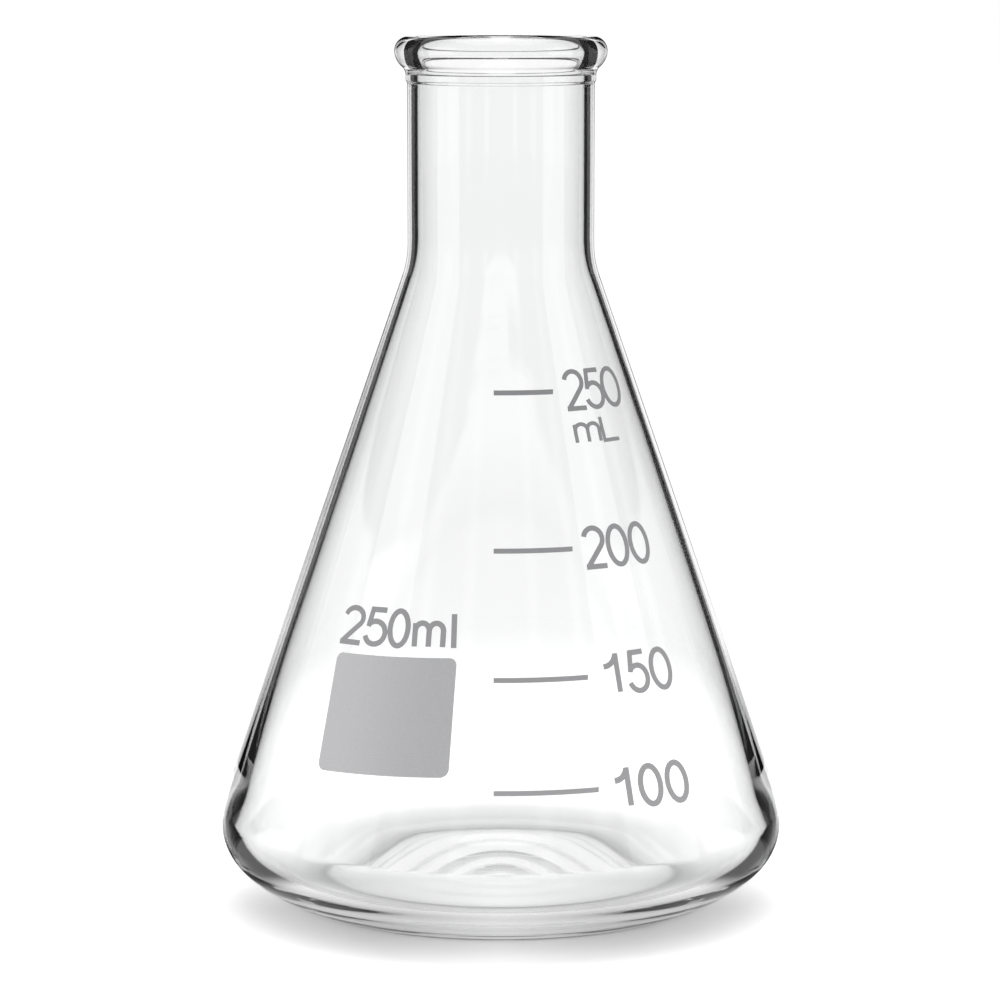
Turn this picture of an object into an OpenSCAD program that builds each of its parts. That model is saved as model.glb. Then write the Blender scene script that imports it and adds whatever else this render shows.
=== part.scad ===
// Conical flask, 250 mL: one blown glass vessel with fired enamel marks.
// The origin is the centre of the base on the bench. +Z is up, and the marks face -Y.

/* [Body] */
// Largest outside diameter of the body, at the heel
body_d = 85; // [82:0.5:90]
// Height from the bench to the top of the rim
height = 130; // [128:0.5:150]
// Height at which the outside lines of cone and neck would meet
shoulder_h = 97; // [92:0.5:102]
// Outside radius that blends the cone into the neck
shoulder_r = 15; // [8:0.5:22]

/* [Neck and rim] */
// Outside diameter of the neck
neck_d = 27.75; // [26:0.25:30]
// Amount by which the collar under the rim is thicker than the neck
collar_out = 0.22; // [0.1:0.02:0.6]
// Length of the collar, from the rim's fillet down to its soft lower edge
collar_h = 0.6; // [0.4:0.1:4]
// Length over which the collar fades into the neck
collar_fade = 0.6; // [0.4:0.1:3]
// Distance that the rolled rim stands out from the neck
rim_out = 1.88; // [1.6:0.02:3]
// Depth of the rim's widest line below its top
rim_top_r = 2.05; // [1.6:0.05:2.6]
// Radius of the rim's rounded underside
rim_under_r = 3.1; // [2.6:0.1:4]
// Radius of the hollow between rim and collar
rim_fillet_r = 1.8; // [1:0.1:2.4]
// Radius of the rim's inner edge
rim_inner_r = 0.75; // [0.4:0.05:1.3]

/* [Heel and base] */
// Radius of the heel at its sharpest
heel_r = 8.2; // [7:0.1:9.5]
// Radius of the flatter curve under the heel
heel_under_r = 21.6; // [18:0.1:24]
// Radius of the long curve from the heel up into the cone
heel_side_r = 36; // [20:0.5:50]
// Angle below level at which heel and under curve meet
heel_under_a = 47.5; // [40:0.5:55]
// Angle above level at which heel and side curve meet
heel_side_a = 9.7; // [4:0.1:14]
// Width of the flat ring that stands on the bench
land_w = 1.6; // [1:0.1:3]
// Rise of the underside at the middle of the base
push_up = 1.4; // [0.6:0.1:2.5]
// Height of the mould's turning rings on the underside
mould_ring_h = 0.07; // [0.02:0.01:0.2]
// Number of turning rings
mould_rings = 4; // [2:1:6]

/* [Glass thickness] */
// Wall of the neck
neck_wall = 1.5; // [1.3:0.05:2]
// Wall at the top of the cone
shoulder_wall = 1.26; // [1.1:0.02:1.6]
// Wall round the heel
heel_wall = 2.55; // [1.8:0.05:3]
// Radius of the long inner curve along which the wall grows thicker towards the heel
inner_side_r = 400; // [250:10:800]
// Angle by which that curve starts steeper than a straight run from inner heel to shoulder
inner_bend = 3.5; // [2:0.1:5]
// Glass at the middle of the base
floor_wall = 2.7; // [2:0.1:4]

/* [Graduation lines] */
// Height of the 100 mL line
line_100_h = 24.55; // [22:0.05:27]
// Height of the 150 mL line
line_150_h = 39.8; // [36:0.05:43]
// Height of the 200 mL line
line_200_h = 57.45; // [54:0.05:61]
// Distance of the 250 mL line below the corner of cone and neck
line_250_drop = 17.65; // [16:0.05:22]
// Stroke of a line, measured down the cone
line_stroke = 0.72; // [0.5:0.02:1.2]
// Distance of the lines' left ends from the middle, leftwards
line_start = 1.05; // [0:0.05:4]
// Reach of the 250 mL line to the right of the middle
line_250_reach = 7.55; // [5:0.05:10]
// Reach of the 200 mL line
line_200_reach = 10.3; // [7:0.05:13]
// Reach of the 150 mL line
line_150_reach = 12.45; // [9:0.05:15]
// Reach of the 100 mL line
line_100_reach = 13.9; // [10:0.05:18]

/* [Marking patch] */
// Width of the patch at its middle
patch_w = 20.4; // [14:0.1:24]
// Height of the patch, measured down the cone
patch_h = 17.2; // [12:0.1:19]
// Amount by which the lower edge is wider than the upper one
patch_flare = 1.4; // [0:0.1:3]
// Corner radius of the patch
patch_corner = 1.1; // [0.6:0.1:2]
// Height of the patch's middle above the bench
patch_z = 34.2; // [31:0.1:37]
// Angle round the flask from the front to the middle of the patch
patch_az = -27.9; // [-40:0.1:-26]
// Lean of the patch, right side up
patch_lean = 2.4; // [0:0.1:5]
// Thickness of the fired enamel
enamel_t = 0.08; // [0.05:0.01:0.15]

/* [Hidden] */
$fn = 96;
// Largest turn from one point of a rounded stretch to the next, in degrees
arc_step = 5;
// Height of the 250 mL line
line_250_h = shoulder_h - line_250_drop;
// Radius at the widest line, on the neck, on the collar, on the rim and in the bore
body_r = body_d / 2;
neck_r = neck_d / 2;
collar_r = neck_r + collar_out;
rim_r = neck_r + rim_out;
bore_r = neck_r - neck_wall;

// Centres of the three heel curves, which run into each other without a kink
heel_c = [body_r - heel_r, heel_under_r - (heel_under_r - heel_r) * sin(heel_under_a)];
under_c = heel_c - (heel_under_r - heel_r) * dir(-heel_under_a);
side_c = heel_c - (heel_side_r - heel_r) * dir(heel_side_a);
under_in_r = heel_under_r - heel_wall;
heel_in_r = heel_r - heel_wall;
// Radius on which the flask stands, and the inner edge of that flat ring
land_r = under_c[0];
land_in_r = land_r - land_w;

// Cone angles outside and inside: each line leaves its side curve and ends at its shoulder corner
shoulder_p = [neck_r, shoulder_h];
cone_a = tangent_angle(side_c, heel_side_r, shoulder_p);
shoulder_in_rise = (neck_wall * cos(cone_a) - shoulder_wall) / sin(cone_a);
shoulder_in_p = [bore_r, shoulder_h + shoulder_in_rise];
inner_side_a = tangent_angle(heel_c, heel_in_r, shoulder_in_p) - inner_bend;
side_in_c = heel_c - (inner_side_r - heel_in_r) * dir(inner_side_a);
cone_in_a = tangent_angle(side_in_c, inner_side_r, shoulder_in_p);
shoulder_in_r = shoulder_r + neck_wall;
shoulder_out_c = shoulder_c(shoulder_p, shoulder_r, cone_a);
shoulder_in_c = shoulder_c(shoulder_in_p, shoulder_in_r, cone_in_a);

// Rim: round from the widest line over to the crest, then a narrow flat top and the inner edge
rim_widest_z = height - rim_top_r;
rim_crest_r = rim_r - rim_top_r;
rim_inner_c = [bore_r + rim_inner_r, height - rim_inner_r];
rim_under_c = [rim_r - rim_under_r, rim_widest_z];
fillet_run = collar_r + rim_fillet_r - rim_under_c[0];
fillet_drop = sqrt(pow(rim_under_r + rim_fillet_r, 2) - pow(fillet_run, 2));
fillet_c = [collar_r + rim_fillet_r, rim_widest_z - fillet_drop];
fillet_a = atan2(fillet_drop, fillet_run);
collar_low_z = fillet_c[1] - collar_h;
// Soft lower edge of the collar, from the neck out to the collar's full thickness
collar_steps = 5;
collar_edge = [for (i = [0:collar_steps])
    let (x = 1 - i / collar_steps)
    [neck_r + collar_out * swell(x), collar_low_z - collar_fade * x]];

// Unit vector at an angle above level
function dir(a) = [cos(a), sin(a)];
// Points of an arc after its start, so that stretches join without a doubled point
function arc(c, r, a0, a1) =
    let (n = max(4, ceil(abs(a1 - a0) / arc_step)))
    [for (i = [1:n]) c + r * dir(a0 + (a1 - a0) * i / n)];
// Angle at which the line through point p touches the circle, on its outer side
function tangent_angle(c, r, p) =
    let (v = p - c)
    atan2(v[1], v[0]) - acos(r / norm(v));
// Centre of the arc that eases a cone of half-angle a into an upright line, about their corner p
function shoulder_c(p, r, a) = p + [r, r * tan(a / 2)];
// Share of a swell that falls from 1 at the middle to 0 at the edge
function swell(x) = (1 + cos(180 * x)) / 2;

// Radius of the cone's outside at a height
function cone_r(z) = neck_r + (shoulder_h - z) * tan(cone_a);

// Underside from the middle out to the flat ring: a shallow push-up with turning rings
function underside_z(x) =
    push_up * swell(x) + mould_ring_h * (1 - cos(360 * mould_rings * x)) / 2;
underside_steps = 8 * mould_rings;
underside = [for (i = [0:underside_steps - 1])
    [land_in_r * i / underside_steps, underside_z(i / underside_steps)]];

// Upper face of the base, from the heel in to the middle
floor_steps = 10;
floor_rise = push_up + floor_wall - heel_wall;
floor_top = [for (i = [floor_steps - 1:-1:0])
    [land_r * i / floor_steps, heel_wall + floor_rise * swell(i / floor_steps)]];

// Half section of the glass: up the outside, over the rim and down the inside
glass_section = concat(
    underside,
    [[land_in_r, 0], [land_r, 0]],
    arc(under_c, heel_under_r, -90, -heel_under_a),
    arc(heel_c, heel_r, -heel_under_a, heel_side_a),
    arc(side_c, heel_side_r, heel_side_a, cone_a),
    [shoulder_out_c - shoulder_r * dir(cone_a)],
    arc(shoulder_out_c, shoulder_r, 180 + cone_a, 180),
    collar_edge,
    [[collar_r, fillet_c[1]]],
    arc(fillet_c, rim_fillet_r, 180, 180 - fillet_a),
    arc(rim_under_c, rim_under_r, -fillet_a, 0),
    arc([rim_crest_r, rim_widest_z], rim_top_r, 0, 90),
    [rim_inner_c + rim_inner_r * dir(90)],
    arc(rim_inner_c, rim_inner_r, 90, 180),
    [[bore_r, shoulder_in_c[1]]],
    arc(shoulder_in_c, shoulder_in_r, 180, 180 + cone_in_a),
    [side_in_c + inner_side_r * dir(cone_in_a)],
    arc(side_in_c, inner_side_r, cone_in_a, inner_side_a),
    arc(heel_c, heel_in_r, inner_side_a, -heel_under_a),
    arc(under_c, under_in_r, -heel_under_a, -90),
    floor_top
);

// The blown glass, in one piece
module flask_body() {
    color([0.86, 0.93, 0.93, 0.35])
        rotate_extrude()
            polygon(glass_section);
}

// Thin skin of enamel on the cone's outside, between two heights
module enamel_skin(z_low, z_high) {
    proud = enamel_t * dir(cone_a);
    rotate_extrude()
        polygon([
            [cone_r(z_low), z_low],
            [cone_r(z_low), z_low] + proud,
            [cone_r(z_high), z_high] + proud,
            [cone_r(z_high), z_high]
        ]);
}

// Rounded four-sided outline of the patch, in the flat
module patch_outline() {
    high = patch_h / 2 * cos(cone_a) - patch_corner;
    top_w = (patch_w - patch_flare / 2) / 2 - patch_corner;
    low_w = (patch_w + patch_flare / 2) / 2 - patch_corner;
    offset(r = patch_corner, $fn = 32)
        polygon([[-low_w, -high], [low_w, -high], [top_w, high], [-top_w, high]]);
}

// Matt patch for pencil notes
module marking_patch() {
    half_h = patch_h / 2 + patch_w * sin(patch_lean);
    color([0.71, 0.71, 0.72])
        intersection() {
            enamel_skin(patch_z - half_h, patch_z + half_h);
            rotate([0, 0, patch_az])
                translate([0, 0, patch_z])
                    rotate([90, 0, 0])
                        linear_extrude(body_r + enamel_t)
                            rotate(patch_lean)
                                patch_outline();
        }
}

// One level line, from the shared left end to its own reach on the right
module graduation_line(z, reach) {
    half = line_stroke / 2 * cos(cone_a);
    intersection() {
        enamel_skin(z - half, z + half);
        translate([-line_start, -body_r, z - line_stroke])
            cube([line_start + reach, body_r, 2 * line_stroke]);
    }
}

// The four level lines
module graduation_lines() {
    color([0.62, 0.62, 0.63]) {
        graduation_line(line_100_h, line_100_reach);
        graduation_line(line_150_h, line_150_reach);
        graduation_line(line_200_h, line_200_reach);
        graduation_line(line_250_h, line_250_reach);
    }
}

flask_body();
marking_patch();
graduation_lines();
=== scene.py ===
from math import acos, atan2, ceil, cos, degrees, hypot, pi, radians, sin, sqrt

import bpy
import bmesh
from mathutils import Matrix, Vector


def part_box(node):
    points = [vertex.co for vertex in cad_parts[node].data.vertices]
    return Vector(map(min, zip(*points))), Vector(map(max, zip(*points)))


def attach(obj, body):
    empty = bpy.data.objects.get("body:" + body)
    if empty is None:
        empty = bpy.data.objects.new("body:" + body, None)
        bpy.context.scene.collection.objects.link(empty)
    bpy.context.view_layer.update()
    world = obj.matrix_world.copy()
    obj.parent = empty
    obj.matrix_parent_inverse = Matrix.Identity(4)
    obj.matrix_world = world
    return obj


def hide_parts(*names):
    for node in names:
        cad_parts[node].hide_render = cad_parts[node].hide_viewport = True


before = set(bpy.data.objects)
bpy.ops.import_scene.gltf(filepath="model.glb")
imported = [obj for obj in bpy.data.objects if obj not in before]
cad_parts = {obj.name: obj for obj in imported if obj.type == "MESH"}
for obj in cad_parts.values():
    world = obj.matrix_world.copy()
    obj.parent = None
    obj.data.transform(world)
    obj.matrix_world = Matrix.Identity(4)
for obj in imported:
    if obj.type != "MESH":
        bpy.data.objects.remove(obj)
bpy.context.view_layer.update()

# Glass body
# One blown vessel of clear borosilicate glass with a fire-polished rolled rim. It was blown
# in a turning mould, which left faint rings under the base and a slow ripple in the wall.
# The section is the one that the CAD node turns, here with finer arcs for clean refraction.
MM = 0.001  # sizes here are in millimetres and degrees, and finished points in metres

body_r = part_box("flask_body")[1].y / MM
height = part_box("flask_body")[1].z / MM
shoulder_h = 97
shoulder_r = 15
neck_r = 13.875
collar_out = 0.22
collar_h = 0.6
collar_fade = 0.6
rim_out = 1.88
rim_top_r = 2.05
rim_under_r = 3.1
rim_fillet_r = 1.8
rim_inner_r = 0.75
heel_r = 8.2
heel_under_r = 21.6
heel_side_r = 36
heel_under_a = 47.5
heel_side_a = 9.7
land_w = 1.6
push_up = 1.4
mould_ring_h = 0.04
mould_rings = 4
neck_wall = 1.5
shoulder_wall = 1.26
heel_wall = 2.55
inner_side_r = 400
inner_bend = 3.5
floor_wall = 2.7

ARC_STEP = 2        # degrees between an arc's points
ARC_LEAST = 6       # fewest steps of an arc
LATHE_TURNS = 250   # points round the axis


def along(angle):
    return cos(radians(angle)), sin(radians(angle))


def shift(point, distance, angle):
    return point[0] + distance * along(angle)[0], point[1] + distance * along(angle)[1]


def arc(centre, radius, start, end):
    """Points of an arc after its start."""
    steps = max(ARC_LEAST, ceil(abs(end - start) / ARC_STEP))
    return [shift(centre, radius, start + (end - start) * i / steps) for i in range(1, steps + 1)]


def tangent_angle(centre, radius, point):
    dx, dz = point[0] - centre[0], point[1] - centre[1]
    return degrees(atan2(dz, dx) - acos(radius / hypot(dx, dz)))


def swell(x):
    return (1 + cos(pi * x)) / 2


heel_c = (body_r - heel_r, heel_under_r - (heel_under_r - heel_r) * along(heel_under_a)[1])
under_c = shift(heel_c, heel_r - heel_under_r, -heel_under_a)
side_c = shift(heel_c, heel_r - heel_side_r, heel_side_a)
land_r = under_c[0]
land_in_r = land_r - land_w

bore_r = neck_r - neck_wall
shoulder_p = (neck_r, shoulder_h)
cone_a = tangent_angle(side_c, heel_side_r, shoulder_p)
shoulder_in_p = (bore_r, shoulder_h + (neck_wall * along(cone_a)[0] - shoulder_wall) / along(cone_a)[1])
inner_side_a = tangent_angle(heel_c, heel_r - heel_wall, shoulder_in_p) - inner_bend
side_in_c = shift(heel_c, heel_r - heel_wall - inner_side_r, inner_side_a)
cone_in_a = tangent_angle(side_in_c, inner_side_r, shoulder_in_p)


def shoulder_centre(corner, radius, angle):
    return corner[0] + radius, corner[1] + radius * along(angle / 2)[1] / along(angle / 2)[0]


shoulder_out_c = shoulder_centre(shoulder_p, shoulder_r, cone_a)
shoulder_in_r = shoulder_r + neck_wall
shoulder_in_c = shoulder_centre(shoulder_in_p, shoulder_in_r, cone_in_a)

collar_r = neck_r + collar_out
rim_r = neck_r + rim_out
rim_widest_z = height - rim_top_r
rim_crest_r = rim_r - rim_top_r
rim_inner_c = (bore_r + rim_inner_r, height - rim_inner_r)
rim_under_c = (rim_r - rim_under_r, rim_widest_z)
fillet_run = collar_r + rim_fillet_r - rim_under_c[0]
fillet_drop = sqrt((rim_under_r + rim_fillet_r) ** 2 - fillet_run ** 2)
fillet_c = (collar_r + rim_fillet_r, rim_widest_z - fillet_drop)
fillet_a = degrees(atan2(fillet_drop, fillet_run))
collar_low_z = fillet_c[1] - collar_h

UNDERSIDE_STEPS = 16 * mould_rings
FLOOR_STEPS = 24
COLLAR_STEPS = 8


def underside_z(x):
    return push_up * swell(x) + mould_ring_h * (1 - cos(2 * pi * mould_rings * x)) / 2


floor_rise = push_up + floor_wall - heel_wall
section = (
    [(land_in_r * i / UNDERSIDE_STEPS, underside_z(i / UNDERSIDE_STEPS)) for i in range(UNDERSIDE_STEPS)]
    + [(land_in_r, 0), (land_r, 0)]
    + arc(under_c, heel_under_r, -90, -heel_under_a)
    + arc(heel_c, heel_r, -heel_under_a, heel_side_a)
    + arc(side_c, heel_side_r, heel_side_a, cone_a)
    + [shift(shoulder_out_c, -shoulder_r, cone_a)]
    + arc(shoulder_out_c, shoulder_r, 180 + cone_a, 180)
    + [(neck_r + collar_out * swell(1 - i / COLLAR_STEPS),
        collar_low_z - collar_fade * (1 - i / COLLAR_STEPS)) for i in range(COLLAR_STEPS + 1)]
    + [(collar_r, fillet_c[1])]
    + arc(fillet_c, rim_fillet_r, 180, 180 - fillet_a)
    + arc(rim_under_c, rim_under_r, -fillet_a, 0)
    + arc((rim_crest_r, rim_widest_z), rim_top_r, 0, 90)
    + [shift(rim_inner_c, rim_inner_r, 90)]
    + arc(rim_inner_c, rim_inner_r, 90, 180)
    + [(bore_r, shoulder_in_c[1])]
    + arc(shoulder_in_c, shoulder_in_r, 180, 180 + cone_in_a)
    + [shift(side_in_c, inner_side_r, cone_in_a)]
    + arc(side_in_c, inner_side_r, cone_in_a, inner_side_a)
    + arc(heel_c, heel_r - heel_wall, inner_side_a, -heel_under_a)
    + arc(under_c, heel_under_r - heel_wall, -heel_under_a, -90)
    + [(land_r * i / FLOOR_STEPS, heel_wall + floor_rise * swell(i / FLOOR_STEPS))
       for i in range(FLOOR_STEPS - 1, -1, -1)]
)


def new_object(name, points, faces, smooth=False):
    mesh = bpy.data.meshes.new(name)
    mesh.from_pydata([(x * MM, y * MM, z * MM) for x, y, z in points], [], faces)
    mesh.polygons.foreach_set("use_smooth", [smooth] * len(mesh.polygons))
    piece = bpy.data.objects.new(name, mesh)
    bpy.context.scene.collection.objects.link(piece)
    return piece


def lathe(name, outline):
    """Turns an outline that starts and ends on the axis into a closed solid."""
    ring = range(LATHE_TURNS)
    points = [(0, 0, outline[0][1]), (0, 0, outline[-1][1])]
    for r, z in outline[1:-1]:
        points += [(r * sin(2 * pi * i / LATHE_TURNS), -r * cos(2 * pi * i / LATHE_TURNS), z) for i in ring]
    last = 2 + LATHE_TURNS * (len(outline) - 3)
    faces = []
    for i in ring:
        j = (i + 1) % LATHE_TURNS
        faces.append((0, 2 + j, 2 + i))
        faces.append((1, last + i, last + j))
        for low in range(2, last, LATHE_TURNS):
            high = low + LATHE_TURNS
            faces.append((low + i, low + j, high + j, high + i))
    return new_object(name, points, faces, smooth=True)


class Value:
    """A node's output. Sums and products of it add Math nodes to the same tree."""

    def __init__(self, socket):
        self.socket = socket

    def maths(self, operation, first, second):
        tree = Tree(self.socket.id_data)
        return tree.node("ShaderNodeMath", {"operation": operation}, {0: first, 1: second})

    def part(self, output):
        return Value(self.socket.node.outputs[output])

    def size(self):
        return self.maths("ABSOLUTE", self, 0)

    def rise(self, low, high):
        """Rises smoothly from 0 at low to 1 at high."""
        tree = Tree(self.socket.id_data)
        return tree.node("ShaderNodeMapRange", {"interpolation_type": "SMOOTHSTEP"}, {
            "Value": self, "From Min": low, "From Max": high})

    def __add__(self, other):
        return self.maths("ADD", self, other)

    def __radd__(self, other):
        return self.maths("ADD", other, self)

    def __sub__(self, other):
        return self.maths("SUBTRACT", self, other)

    def __rsub__(self, other):
        return self.maths("SUBTRACT", other, self)

    def __mul__(self, other):
        return self.maths("MULTIPLY", self, other)

    def __rmul__(self, other):
        return self.maths("MULTIPLY", other, self)

    def __truediv__(self, other):
        return self.maths("DIVIDE", self, other)

    def __gt__(self, other):
        return self.maths("GREATER_THAN", self, other)

    def __lt__(self, other):
        return self.maths("LESS_THAN", self, other)


class Tree:
    """A material's or world's node tree."""

    def __init__(self, tree):
        self.tree = tree

    def node(self, kind, settings=None, inputs=None, output=0):
        """Adds a node. Settings come first, then its inputs, as constants or as other nodes' Values."""
        made = self.tree.nodes.new(kind)
        for name, value in (settings or {}).items():
            if name == "stops":
                ramp = made.color_ramp.elements
                while len(ramp) < len(value):
                    ramp.new(1)
                for stop, (place, colour) in zip(ramp, value):
                    stop.position = place
                    stop.color = colour
            else:
                setattr(made, name, value)
        for name, value in (inputs or {}).items():
            if isinstance(value, Value):
                self.tree.links.new(value.socket, made.inputs[name])
            else:
                made.inputs[name].default_value = value
        return Value(made.outputs[output]) if made.outputs else None

    def coordinate(self, output="Object"):
        return self.node("ShaderNodeTexCoord", output=output)

    def axes(self, place):
        """The X, Y and Z of a place."""
        split = self.node("ShaderNodeSeparateXYZ", inputs={"Vector": place})
        return split.part("X"), split.part("Y"), split.part("Z")

    def length(self, place, scale=(1, 1, 1)):
        """Distance of a place from the origin, with its axes scaled first."""
        scaled = self.node("ShaderNodeVectorMath", {"operation": "MULTIPLY"}, {0: place, 1: scale})
        return self.node("ShaderNodeVectorMath", {"operation": "LENGTH"}, {0: scaled}, output=1)

    def mix(self, share, first, second):
        """A colour that goes from the first to the second as the share goes from 0 to 1."""
        # Mix has a socket of the same name for each kind of data. 6 and 7 take its colours, and
        # its third output gives one.
        return self.node("ShaderNodeMix", {"data_type": "RGBA"}, {0: share, 6: first, 7: second}, output=2)

    def surface(self, shader):
        self.node("ShaderNodeOutputMaterial", inputs={"Surface": shader})


def new_material(name):
    material = bpy.data.materials.new(name)
    material.use_nodes = True
    material.node_tree.nodes.clear()
    return material, Tree(material.node_tree)


BOROSILICATE_IOR = 1.474
GLASS_CLEAR = (0.998, 0.999, 0.999, 1)
GLASS_THICK = (0.985, 0.990, 0.989, 1)
RIPPLE_SCALE = 38.0     # waves of the ripple over a metre
TINT_SCALE = 95.0
SKIN_STRENGTH = 0.02
SKIN_DEPTH = 0.0004     # metres, as the rings' sizes are
RING_PITCH = 0.0022     # fine turning rings on the heel
RING_DEPTH = 2.0        # their height against the ripple's
RING_FROM_R = 0.020
RING_FULL_R = 0.025
RING_FULL_Z = 0.003
RING_END_Z = 0.010

glass, tree = new_material("borosilicate_glass")
place = tree.coordinate()
ripple = tree.node("ShaderNodeTexNoise", inputs={"Vector": place, "Scale": RIPPLE_SCALE, "Detail": 0.0})
draw = tree.node("ShaderNodeTexNoise", inputs={"Vector": place, "Scale": TINT_SCALE, "Detail": 2.0})
from_axis = tree.length(place, (1, 1, 0))
wave = tree.node("ShaderNodeMath", {"operation": "SINE"}, {0: from_axis * (2 * pi / RING_PITCH)})
on_heel = from_axis.rise(RING_FROM_R, RING_FULL_R) * (1 - tree.axes(place)[2].rise(RING_FULL_Z, RING_END_Z))
skin = tree.node("ShaderNodeBump", inputs={
    "Height": ripple + wave * on_heel * RING_DEPTH, "Strength": SKIN_STRENGTH, "Distance": SKIN_DEPTH})
tree.surface(tree.node("ShaderNodeBsdfPrincipled", inputs={
    "Base Color": tree.mix(draw, GLASS_CLEAR, GLASS_THICK),
    "Roughness": 0.0,
    "IOR": BOROSILICATE_IOR,
    "Transmission Weight": 1.0,
    "Normal": skin,
}))

flask = lathe("blown_glass", section)
flask.data.materials.append(glass)
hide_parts("flask_body")
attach(flask, "root")

# Marking patch
# A matt patch of fired enamel for pencil notes, printed through a fine screen whose weave
# still shows. The CAD skin has the right shape, so it stays and takes this finish.
PATCH_LIGHT = (0.56, 0.56, 0.57, 1)
PATCH_DARK = (0.40, 0.40, 0.41, 1)
PATCH_FADE = 0.009      # metres: painted shade, the patch turns darker from -PATCH_FADE to PATCH_FADE across it
PATCH_AZ = -27.9
WEAVE_PITCH = 0.00035   # metres
WEAVE_WOBBLE = 0.6
PATCH_SPECKLE_SCALE = 2600.0
THREAD_SHARE = 0.5
SPECKLE_SHARE = 0.7
FADE_SHARE = 0.5
GRAIN_STRENGTH = 0.3
GRAIN_DEPTH = 0.00003   # metres

patch_enamel, tree = new_material("patch_enamel")
turned = tree.node("ShaderNodeMapping", inputs={
    "Vector": tree.coordinate(), "Rotation": (0, 0, radians(-PATCH_AZ))})
threads = [
    tree.node("ShaderNodeTexWave", {"bands_direction": axis}, {
        "Vector": turned,
        "Scale": pi / (10 * WEAVE_PITCH),  # a wave of scale 1 repeats every pi / 10
        "Distortion": WEAVE_WOBBLE,
        "Detail": 1.0,
    }, output=1)
    for axis in ("X", "Z")
]
speckle = tree.node("ShaderNodeTexNoise", inputs={
    "Vector": turned, "Scale": PATCH_SPECKLE_SCALE, "Detail": 2.0})
weave = threads[0] * threads[1] * THREAD_SHARE + speckle * SPECKLE_SHARE
# painted light: the patch is lighter at its left and darker towards its right
painted_light_at_left = tree.axes(turned)[0].rise(PATCH_FADE, -PATCH_FADE)
grain = tree.node("ShaderNodeBump", inputs={
    "Height": weave, "Strength": GRAIN_STRENGTH, "Distance": GRAIN_DEPTH})
tree.surface(tree.node("ShaderNodeBsdfPrincipled", inputs={
    "Base Color": tree.mix((weave + painted_light_at_left) * FADE_SHARE, PATCH_DARK, PATCH_LIGHT),
    "Roughness": 0.75, "Specular IOR Level": 0.3, "Normal": grain}))

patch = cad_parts["marking_patch"]
patch.data.materials.clear()
patch.data.materials.append(patch_enamel)

# Graduation lines
# Four level lines of thin grey enamel, screen printed with the numerals and fired on.
# The CAD strips stay and take this finish.
INK_LIGHT = (0.38, 0.38, 0.39, 1)
INK_DARK = (0.24, 0.24, 0.25, 1)
INK_LIGHT_Z = 0.02       # metres: the enamel goes darker towards the neck, between these heights
INK_DARK_Z = 0.08
INK_SPECKLE_SCALE = 3200.0
INK_SPECKLE = 0.25      # share of the colour that speckles

line_enamel, tree = new_material("line_enamel")
place = tree.coordinate()
speckle = tree.node("ShaderNodeTexNoise", inputs={
    "Vector": place, "Scale": INK_SPECKLE_SCALE, "Detail": 2.0})
# the enamel's colour darkens with height on the flask
darker_up = tree.node("ShaderNodeMapRange", inputs={
    "Value": tree.axes(place)[2], "From Min": INK_LIGHT_Z, "From Max": INK_DARK_Z})
tree.surface(tree.node("ShaderNodeBsdfPrincipled", inputs={
    "Base Color": tree.mix(darker_up * (1 - INK_SPECKLE) + speckle * INK_SPECKLE, INK_LIGHT, INK_DARK),
    "Roughness": 0.6, "Specular IOR Level": 0.4}))

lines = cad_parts["graduation_lines"]
lines.data.materials.clear()
lines.data.materials.append(line_enamel)

# Numerals and unit marks
# Plain upright figures in the same fired enamel, printed flat round the cone. Each stroke
# is a thin raised strip that bends with the glass.
ENAMEL_T = 0.06         # millimetres, as all sizes of the print are
ENAMEL_SEAT = 0.01      # how far a stroke's foot goes into the glass
ENAMEL_LAYER = 0.004    # a figure's second stroke stands this much over its first
STROKE_STEP = 0.3       # longest piece of a stroke that stays flat
BOW_STEP = 7            # degrees between a bow's points
MITRE_LEAST = 0.35      # keeps the corner of a sharp mitre short
SAME_POINT = 1e-6

apex_z = shoulder_h + neck_r / (along(cone_a)[1] / along(cone_a)[0])


def on_cone(azimuth, slant, x, y, lift):
    """Place on the cone of a point of a flat print, x to the right and y up the slant."""
    reach = hypot(slant - y, x)
    turn = radians(azimuth) + atan2(x, slant - y) / sin(radians(cone_a))
    r = reach * sin(radians(cone_a)) + lift * cos(radians(cone_a))
    z = apex_z - reach * cos(radians(cone_a)) + lift * sin(radians(cone_a))
    return r * sin(turn), -r * cos(turn), z


def bow(cx, cy, rx, ry, start, end):
    """An elliptic arc in a figure's own box, which runs from 0 to 1 both ways."""
    steps = ceil(abs(end - start) / BOW_STEP)
    turns = [radians(start + (end - start) * i / steps) for i in range(steps + 1)]
    return [(cx + rx * cos(t), cy + ry * sin(t)) for t in turns]


FIGURES = {  # each is a list of strokes in the figure's own box
    "0": [bow(0.5, 0.5, 0.5, 0.5, 90, 450)],
    "1": [[(1, 0), (1, 1)], bow(0, 1.04, 1, 0.36, -90, -12)],
    "2": [bow(0.50, 0.72, 0.46, 0.28, 165, -42) + [(0.06, 0)], [(-0.02, 0), (1, 0)]],
    "5": [[(0.94, 1), (0.22, 1), (0.08, 0.5)], bow(0.47, 0.33, 0.53, 0.33, 140, -162)],
    "m": [[(0, 0), (0, 1)], bow(0.25, 0.66, 0.25, 0.34, 180, 0) + [(0.5, 0)],
          bow(0.75, 0.66, 0.25, 0.34, 180, 0) + [(1, 0)]],
    "L": [[(0, 1), (0, 0), (1, 0)]],
    "l": [[(0.5, 1), (0.5, 0)]],
}


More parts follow.
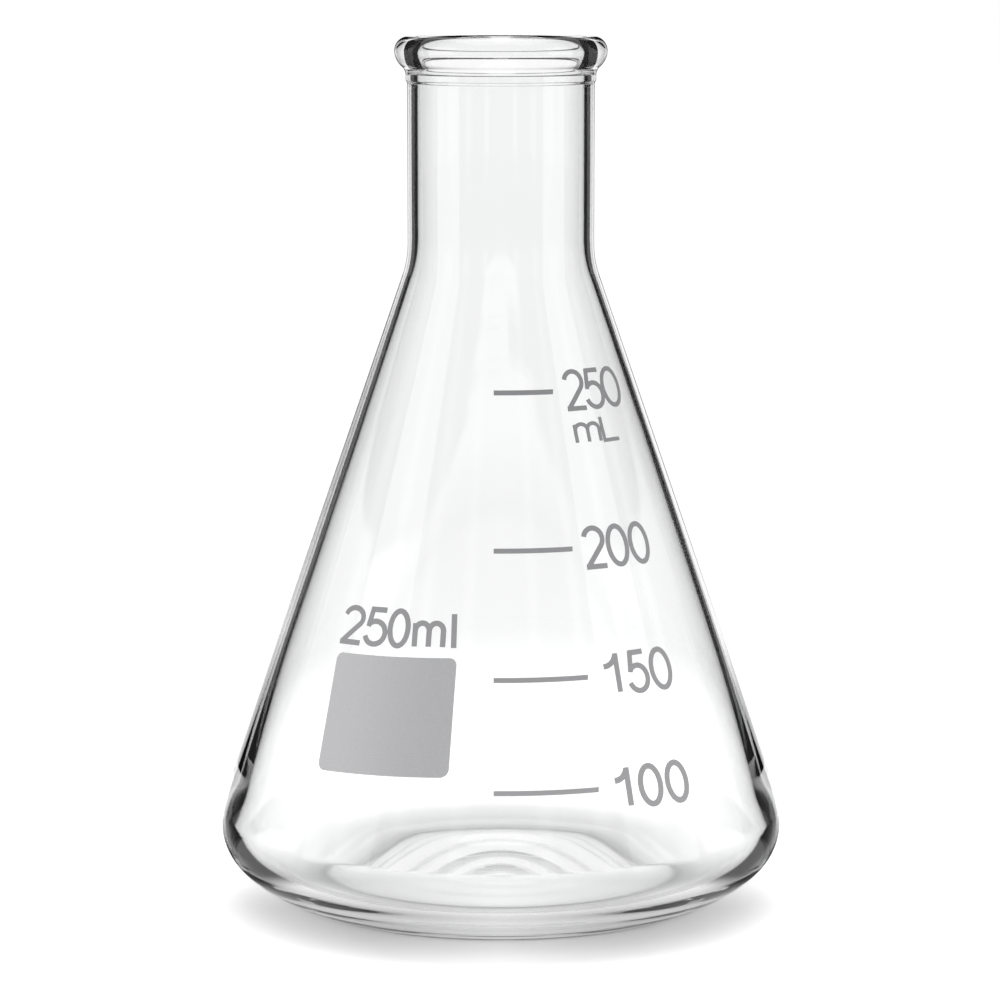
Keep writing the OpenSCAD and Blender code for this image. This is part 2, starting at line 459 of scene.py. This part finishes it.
def strip(path, width, lift, where):
    """A mitred strip of enamel along a path of (x, y) points in the flat print."""
    closed = hypot(path[0][0] - path[-1][0], path[0][1] - path[-1][1]) < SAME_POINT
    dense = []
    for (x0, y0), (x1, y1) in zip(path, path[1:]):
        steps = ceil(hypot(x1 - x0, y1 - y0) / STROKE_STEP)
        dense += [(x0 + (x1 - x0) * i / steps, y0 + (y1 - y0) * i / steps) for i in range(steps)]
    dense += [] if closed else [path[-1]]
    count = len(dense)
    corners = []
    for i, (x, y) in enumerate(dense):
        before = dense[i - 1] if closed or i else (2 * x - dense[1][0], 2 * y - dense[1][1])
        after = dense[(i + 1) % count]
        if not closed and i == count - 1:
            after = (2 * x - dense[-2][0], 2 * y - dense[-2][1])
        a = atan2(y - before[1], x - before[0])
        b = atan2(after[1] - y, after[0] - x)
        half = (b - a + pi) % (2 * pi) / 2 - pi / 2
        nx, ny = -sin(a + half), cos(a + half)
        out = width / 2 / max(cos(half), MITRE_LEAST)
        corners.append(((x + nx * out, y + ny * out), (x - nx * out, y - ny * out)))
    points = []
    for left, right in corners:
        for side, level in ((left, -ENAMEL_SEAT), (left, lift), (right, lift), (right, -ENAMEL_SEAT)):
            points.append(where(side[0], side[1], level))
    faces = []
    for i in range(count if closed else count - 1):
        p, q = 4 * i, 4 * ((i + 1) % count)
        faces += [(p + k, p + (k + 1) % 4, q + (k + 1) % 4, q + k) for k in range(4)]
    if not closed:
        faces += [(3, 2, 1, 0), tuple(4 * (count - 1) + k for k in range(4))]
    return points, faces


def printed(name, stroke, marks, lean=0):
    """One printed group. A mark is (figure, azimuth, slant distance from the cone's tip, width,
    height), and lean turns each figure anticlockwise."""
    points, faces = [], []
    for figure, azimuth, slant, width, tall in marks:
        for level, path in enumerate(FIGURES[figure]):
            run = [((u - 0.5) * max(width - stroke, 0), (v - 0.5) * (tall - stroke)) for u, v in path]
            c, s = along(lean)
            run = [(x * c - y * s, x * s + y * c) for x, y in run]
            more, quads = strip(run, stroke, ENAMEL_T + ENAMEL_LAYER * level,
                                lambda x, y, lift: on_cone(azimuth, slant, x, y, lift))
            faces += [tuple(k + len(points) for k in quad) for quad in quads]
            points += more
    group = new_object(name, points, faces)
    bm = bmesh.new()
    bm.from_mesh(group.data)
    bmesh.ops.recalc_face_normals(bm, faces=bm.faces)
    bm.to_mesh(group.data)
    bm.free()
    group.data.materials.append(line_enamel)
    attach(group, "root")
    return group


printed("numeral_250", 0.69, [
    ("2", 32.3, 61.05, 3.9, 6.2),
    ("5", 42.7, 61.1, 3.8, 6.2),
    ("0", 53.6, 61.15, 4.46, 6.2),
])
printed("unit_mL", 0.57, [
    ("m", 35.0, 67.5, 4.82, 3.25),
    ("L", 46.2, 67.1, 3.6, 4.1),
])
printed("numeral_200", 0.76, [
    ("2", 29.3, 84.3, 4.1, 6.4),
    ("0", 37.8, 84.35, 4.1, 6.4),
    ("0", 46.7, 84.45, 4.25, 6.4),
])
printed("numeral_150", 0.79, [
    ("1", 28.1, 102.7, 2.9, 6.4),
    ("5", 35.9, 102.9, 3.9, 6.4),
    ("0", 43.4, 103.0, 4.4, 6.4),
])
printed("numeral_100", 0.86, [
    ("1", 26.4, 119.1, 2.9, 6.35),
    ("0", 33.4, 119.3, 4.25, 6.35),
    ("0", 40.5, 119.45, 4.4, 6.35),
])
printed("size_mark", 0.80, [
    ("2", -42.75, 96.5, 4.6, 5.85),
    ("5", -34.8, 96.3, 4.1, 5.85),
    ("0", -27.75, 96.15, 3.7, 5.85),
    ("m", -19.0, 96.75, 5.1, 4.2),
    ("l", -12.3, 96.0, 1.0, 5.7),
], lean=2.4)

# Floor
# A white paper sweep that runs away behind the flask, with dark room at either side of it, out
# of view. The paper takes the flask's shadow and has painted light on it, with painted shadow
# in a ring where the thick heel turns the light aside, and painted shade at the heel's sides.
# The dark sides give the glass its black edge lines.
SWEEP_R = 4.0           # sizes are in metres from here on
SWEEP_SIDES = 96
BENCH_GAP = 0.00004     # keeps the paper just under the flask's flat foot
SHADOW_FROM = 0.09      # the paper turns from lit to plain white between these distances
SHADOW_TO = 0.22
PAPER_LIGHT = (0.95, 0.95, 0.95, 1)
PAPER_DARK = (0.93, 0.93, 0.93, 1)
FIBRE_SCALE = 900.0
SHADE_REACH = 0.1       # distance from the axis where the table below ends
SHADE_WIDER = 1.12      # stretches it to the left and right
PAINTED_PAPER_LIGHT = [  # distance from the axis, level of painted light on the paper, which dips to a painted shadow in a ring round the foot
    (0.020, 0.75), (0.0232, 0.60), (0.0246, 0.10), (0.0262, 0.30),
    (0.029, 0.50), (0.036, 0.56), (0.044, 0.50), (0.060, 0.42),
]
PAINTED_LIGHT_BEHIND = 0.12      # more painted light behind the flask
BEHIND_Y = 0.012
SIDE_SHADE = 0.40       # painted shade: less painted light to the left and right of the heel
SIDE_SHADE_X = (-0.004, 0.022)
SIDE_SHADE_R = (0.034, 0.048)
BACKGROUND = 1.03

# What light finds after the glass mirrors it. Slopes are X over Y of a sector's edge.
ROOM_DARK = 0.015
ROOM_DIM = 0.2
FLOOR_DIM = 0.10
SWEEP_CLEAR = 0.034     # half the width of the white paper beside the flask
SIDE_SLOPE = 0.42       # the dark starts here
WIDE_SLOPE = 1.7        # and turns dim here
SIDE_SOFT = 0.008
DARK_FROM_Y = -0.02
FRONT_Y = (-0.10, -0.35)
ONCE = 0.5              # a ray's count of bounces is over this after one
TWICE = 1.5
STRIPES = 14            # light strips in a full turn
STRIPE_SOFT = (0.60, 0.90)
STRIPE_LEVEL = 0.60
AGAIN_DARK = 0.3        # loss of light that the glass mirrors twice or more
SKIM_DARK = (1, 3)      # light that skims the outside goes dark between these bearings
SKIM_LIGHT = (12, 15)   # and comes back between these


def grey(level):
    return level, level, level, 1


def surroundings(tree, place, clear, room_dim, strips):
    """Level of white that a ray finds: full, but for light that the glass mirrors, which
    finds a dim room with strips of light in front and a dark one at the sides."""
    x, y, _ = tree.axes(place)
    ahead = y.maths("MAXIMUM", y, 0)
    side = (x.size() - SIDE_SLOPE * ahead).rise(clear, clear + SIDE_SOFT)
    narrow = (x.size() - WIDE_SLOPE * ahead) < clear
    dark = side * narrow * (y > DARK_FROM_Y)
    front = y.rise(*FRONT_Y)
    dim = front.maths("MAXIMUM", front, side * (1 - narrow))

    diffuse = tree.node("ShaderNodeLightPath", output="Is Diffuse Ray")
    mirrored = (diffuse.part("Glossy Depth") > ONCE) * (1 - diffuse)
    again = (diffuse.part("Glossy Depth") > TWICE) * (1 - diffuse)
    outside = diffuse.part("Transmission Depth") < ONCE

    bearing = x.maths("ARCTAN2", x.size(), y)
    skimmed = outside * mirrored * bearing.rise(*map(radians, SKIM_DARK))
    skimmed = skimmed * (1 - bearing.rise(*map(radians, SKIM_LIGHT)))
    stripe = bearing.maths("SINE", bearing * STRIPES, 0).rise(*STRIPE_SOFT)
    room = room_dim + stripe * (strips - room_dim)
    seen = 1 - mirrored * (dim * (1 - room) + dark * (1 - ROOM_DARK))
    return seen * (1 - skimmed) * (1 - again * AGAIN_DARK)


paper, tree = new_material("white_sweep")
place = tree.coordinate()
x, y, _ = tree.axes(place)
away = tree.length(place)
fibre = tree.node("ShaderNodeTexNoise", inputs={"Vector": place, "Scale": FIBRE_SCALE})
matt = tree.node("ShaderNodeBsdfDiffuse", inputs={"Color": tree.mix(fibre, PAPER_DARK, PAPER_LIGHT)})
# painted shadow and light on the paper: an emission set by distance from the axis, lifted behind the flask
# and cut at the heel's sides
shade = tree.node("ShaderNodeValToRGB", {
    "stops": [(r / SHADE_REACH, grey(level)) for r, level in PAINTED_PAPER_LIGHT],
}, {"Fac": tree.length(place, (1 / SHADE_WIDER, 1, 1)) / SHADE_REACH})
behind = y.rise(-BEHIND_Y, BEHIND_Y)
side_shade = SIDE_SHADE * x.size().rise(*SIDE_SHADE_X) * (1 - away.rise(*SIDE_SHADE_R)) * (1 - behind)
painted_light = tree.node("ShaderNodeEmission", inputs={
    "Color": (shade + behind * PAINTED_LIGHT_BEHIND) * (1 - side_shade), "Strength": 1.0})
near_floor = tree.node("ShaderNodeAddShader", inputs={0: matt, 1: painted_light})
far_floor = tree.node("ShaderNodeEmission", inputs={"Strength": BACKGROUND})
sweep = tree.node("ShaderNodeMixShader", inputs={
    0: away.rise(SHADOW_FROM, SHADOW_TO), 1: near_floor, 2: far_floor})
nothing = tree.node("ShaderNodeEmission", inputs={"Strength": 0.0})
tree.surface(tree.node("ShaderNodeMixShader", inputs={
    0: surroundings(tree, place, SWEEP_CLEAR, FLOOR_DIM, FLOOR_DIM), 1: nothing, 2: sweep}))

bpy.ops.mesh.primitive_circle_add(vertices=SWEEP_SIDES, radius=SWEEP_R, fill_type="NGON")
floor = bpy.context.object
floor.name = "studio_floor"
floor.location.z = -BENCH_GAP
floor.data.materials.append(paper)

# Studio light
# White surroundings behind the flask and a dim room in front of it, a wide lamp overhead,
# and a tall soft box on either side, which draw the two bright bands up the neck.
SKY_LEVEL = 0.62
CEILING_Z = (0.35, 0.60)    # Z of the directions where the dim ceiling starts and is full
BOX_AZIMUTH = 112
BOX_AWAY = 0.6
BOX_Z = 0.2
BOX_WIDTH = 0.34
BOX_TALL = 0.7
BOX_RADIANCE = 1.5
TOP_Z = 1.1
TOP_SIZE = 0.8
TOP_RADIANCE = 1.2

world = bpy.data.worlds.new("studio")
bpy.context.scene.world = world
world.use_nodes = True
world.node_tree.nodes.clear()
tree = Tree(world.node_tree)
camera_ray = tree.node("ShaderNodeLightPath", output="Is Camera Ray")
glossy = camera_ray.maths("MAXIMUM", camera_ray.part("Is Glossy Ray"), camera_ray.part("Is Transmission Ray"))
direction = tree.coordinate("Generated")
ceiling = tree.axes(direction)[2].rise(*CEILING_Z)
seen = BACKGROUND * surroundings(tree, direction, 0.0, ROOM_DIM, STRIPE_LEVEL)
seen = seen * (1 - ceiling * (1 - ROOM_DIM))
level = camera_ray + (1 - camera_ray) * (glossy * seen + (1 - glossy) * SKY_LEVEL)
tree.node("ShaderNodeOutputWorld", inputs={
    "Surface": tree.node("ShaderNodeBackground", inputs={"Color": (1, 1, 1, 1), "Strength": level})})


def soft_box(name, azimuth, distance, z, width, tall, radiance):
    """A lamp that faces the flask. Azimuth runs from +Y towards +X."""
    lamp = bpy.data.lights.new(name, "AREA")
    lamp.shape = "RECTANGLE"
    lamp.size = width
    lamp.size_y = tall
    lamp.energy = radiance * pi * width * tall
    holder = bpy.data.objects.new(name, lamp)
    bpy.context.scene.collection.objects.link(holder)
    east, north = sin(radians(azimuth)), cos(radians(azimuth))
    holder.location = (distance * east, distance * north, z)
    holder.rotation_euler = (radians(-90), 0, radians(-azimuth))
    holder.visible_camera = False
    holder.visible_transmission = False
    return holder


soft_box("soft_box_left", -BOX_AZIMUTH, BOX_AWAY, BOX_Z, BOX_WIDTH, BOX_TALL, BOX_RADIANCE)
soft_box("soft_box_right", BOX_AZIMUTH, BOX_AWAY, BOX_Z, BOX_WIDTH, BOX_TALL, BOX_RADIANCE)
top = soft_box("top_light", 0, 0, TOP_Z, TOP_SIZE, TOP_SIZE, TOP_RADIANCE)
top.rotation_euler = (0, 0, 0)  # faces down

# Camera
# The photograph's viewpoint: a long lens, a little above the rim and tipped down.
CAMERA_AWAY = 0.540
CAMERA_HEIGHT = 0.14259
CAMERA_ASIDE = -0.000134
CAMERA_DIP = 8.624
LENS = 130.53           # millimetres, as the sensor is
SENSOR = 36
CLIP_NEAR = 0.01
CLIP_FAR = 20
GLASS_BOUNCES = 24      # light crosses the walls and the base many times
GLOSSY_BOUNCES = 16

camera = bpy.data.objects.new("camera", bpy.data.cameras.new("camera"))
bpy.context.scene.collection.objects.link(camera)
camera.data.lens = LENS
camera.data.sensor_width = SENSOR
camera.data.clip_start = CLIP_NEAR
camera.data.clip_end = CLIP_FAR
camera.location = (CAMERA_ASIDE, -CAMERA_AWAY, CAMERA_HEIGHT)
camera.rotation_euler = (radians(90 - CAMERA_DIP), 0, 0)
bpy.context.scene.camera = camera
bpy.context.scene.view_settings.view_transform = "Standard"
bpy.context.scene.cycles.max_bounces = GLASS_BOUNCES
bpy.context.scene.cycles.transmission_bounces = GLASS_BOUNCES
bpy.context.scene.cycles.glossy_bounces = GLOSSY_BOUNCES
